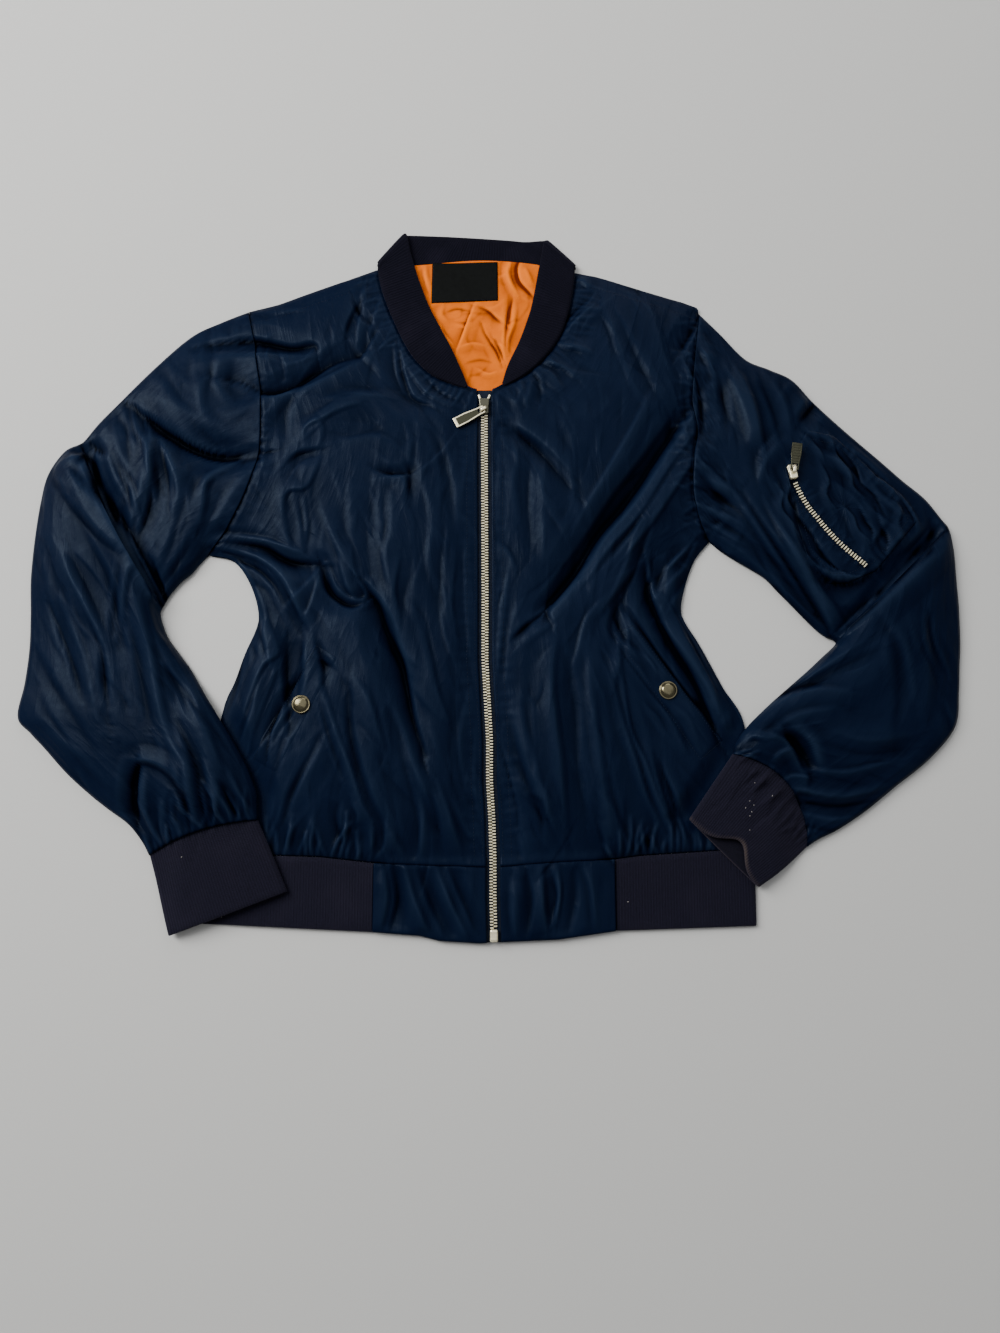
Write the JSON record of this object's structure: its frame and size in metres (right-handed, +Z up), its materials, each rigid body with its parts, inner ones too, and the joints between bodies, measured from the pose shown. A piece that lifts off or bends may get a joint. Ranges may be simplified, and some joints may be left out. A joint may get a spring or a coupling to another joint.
{
  "type": "bomber jacket",
  "caption": "Nylon bomber jacket laid flat, zipped, with rib collar, cuffs and hem, snap pocket flaps and a zipped sleeve pocket.",
  "frame": {"origin": "middle of the bounding box in plan, on the surface that the jacket lies on", "axes": "+X towards the wearer's left sleeve, +Y towards the collar, +Z up out of the front"},
  "size_m": [0.8072, 0.6317, 0.0272],
  "materials": {
    "shell": "smooth navy nylon with a soft sheen",
    "rib_knit": "matt rib knit",
    "lining": "smooth orange nylon",
    "label": "matt woven patch, bare",
    "tape": "matt woven tape",
    "pale_metal": "pale gold, polished",
    "dark_metal": "dark, polished"
  },
  "bodies": {
    "garment": {"back": "shell", "front_right": "shell", "front_left": "shell", "sleeve_right": "shell", "sleeve_left": "shell", "hem_block_right": "shell", "hem_block_left": "shell", "pocket_flap_right": "shell", "pocket_flap_left": "shell", "sleeve_pocket": "shell", "collar": "rib_knit", "hem_rib": "rib_knit", "cuff_right": "rib_knit", "cuff_left": "rib_knit", "back_lining": "lining", "neck_label": "label", "zip_tape": "tape", "zip_chain": "pale_metal", "zip_stop_right": "pale_metal", "zip_stop_left": "pale_metal", "zip_box": "pale_metal", "zip_slider": "pale_metal", "snap_right": "pale_metal", "snap_left": "pale_metal", "sleeve_zip_chain": "pale_metal", "sleeve_zip_slider": "pale_metal"},
    "zip_pull_tab": {"zip_pull": "pale_metal"},
    "sleeve_pull_tab": {"sleeve_zip_pull": "dark_metal"}
  },
  "joints": [
    {"name": "zip_pull_hinge", "type": "hinge", "parent": "garment", "child": "zip_pull_tab", "pos_m": [-0.0078, 0.1425, 0.01416], "axis": [-0.4584, 0.8887, 0], "range_deg": [0, 150]},
    {"name": "sleeve_pull_hinge", "type": "hinge", "parent": "garment", "child": "sleeve_pull_tab", "pos_m": [0.2608, 0.0835, 0.02468], "axis": [0.9883, -0.1524, 0], "range_deg": [0, 150]}
  ]
}
